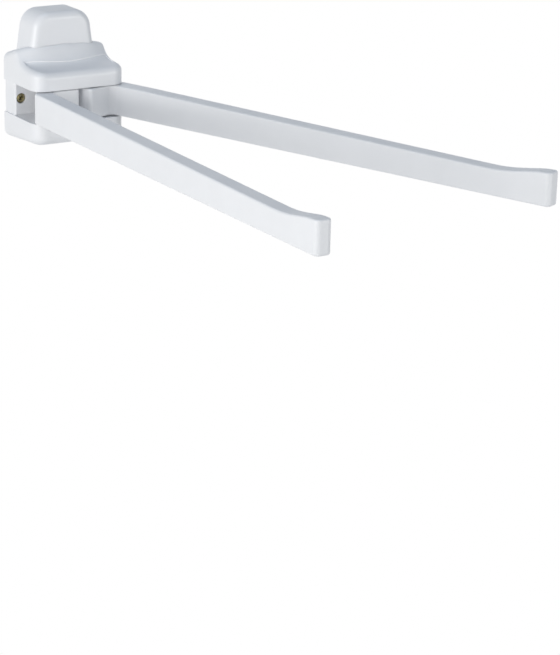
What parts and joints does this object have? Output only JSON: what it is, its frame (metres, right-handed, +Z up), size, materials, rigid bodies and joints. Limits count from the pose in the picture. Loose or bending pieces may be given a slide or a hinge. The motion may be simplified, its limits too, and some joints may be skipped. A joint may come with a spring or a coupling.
{
  "type": "swing arm towel bar",
  "caption": "White moulded wall bracket with flat tapering arms that swing sideways on upright pins and turn up at their ends to keep a towel on.",
  "frame": {"origin": "on the wall, half way across the bracket and level with the middle of the arms; the centre of the pair of wall plugs", "axes": "+Z up, +Y into the wall, arms point along -Y, +X to the right seen from the front"},
  "size_m": [0.2229, 0.503, 0.1031],
  "materials": {
    "moulded_white": "satin gloss, white moulded plastic",
    "arm_white": "satin gloss, white moulded plastic",
    "zinc_yellow": "yellow zinc plated steel, satin",
    "pin_steel": "bright drawn steel",
    "spring_steel": "dark spring steel",
    "washer_nylon": "natural acetal",
    "plug_nylon": "grey nylon"
  },
  "bodies": {
    "bracket": {"wall_base": "moulded_white", "upper_cover": "moulded_white", "lower_cover": "moulded_white", "cover_screw": "zinc_yellow", "left_pivot_pin": "pin_steel", "left_pin_clip": "spring_steel", "left_disc_spring": "spring_steel", "left_upper_washer": "washer_nylon", "left_lower_washer": "washer_nylon", "left_wall_screw": "zinc_yellow", "left_wall_plug": "plug_nylon", "right_pivot_pin": "pin_steel", "right_pin_clip": "spring_steel", "right_disc_spring": "spring_steel", "right_upper_washer": "washer_nylon", "right_lower_washer": "washer_nylon", "right_wall_screw": "zinc_yellow", "right_wall_plug": "plug_nylon"},
    "left_arm_body": {"left_arm": "arm_white"},
    "right_arm_body": {"right_arm": "arm_white"}
  },
  "joints": [
    {"name": "left_arm_swing", "type": "hinge", "parent": "bracket", "child": "left_arm_body", "pos_m": [-0.0185, -0.042, 0], "axis": [0, 0, 1], "range_deg": [-90, 0]},
    {"name": "right_arm_swing", "type": "hinge", "parent": "bracket", "child": "right_arm_body", "pos_m": [0.0185, -0.042, 0], "axis": [0, 0, 1], "range_deg": [-20, 70]}
  ]
}
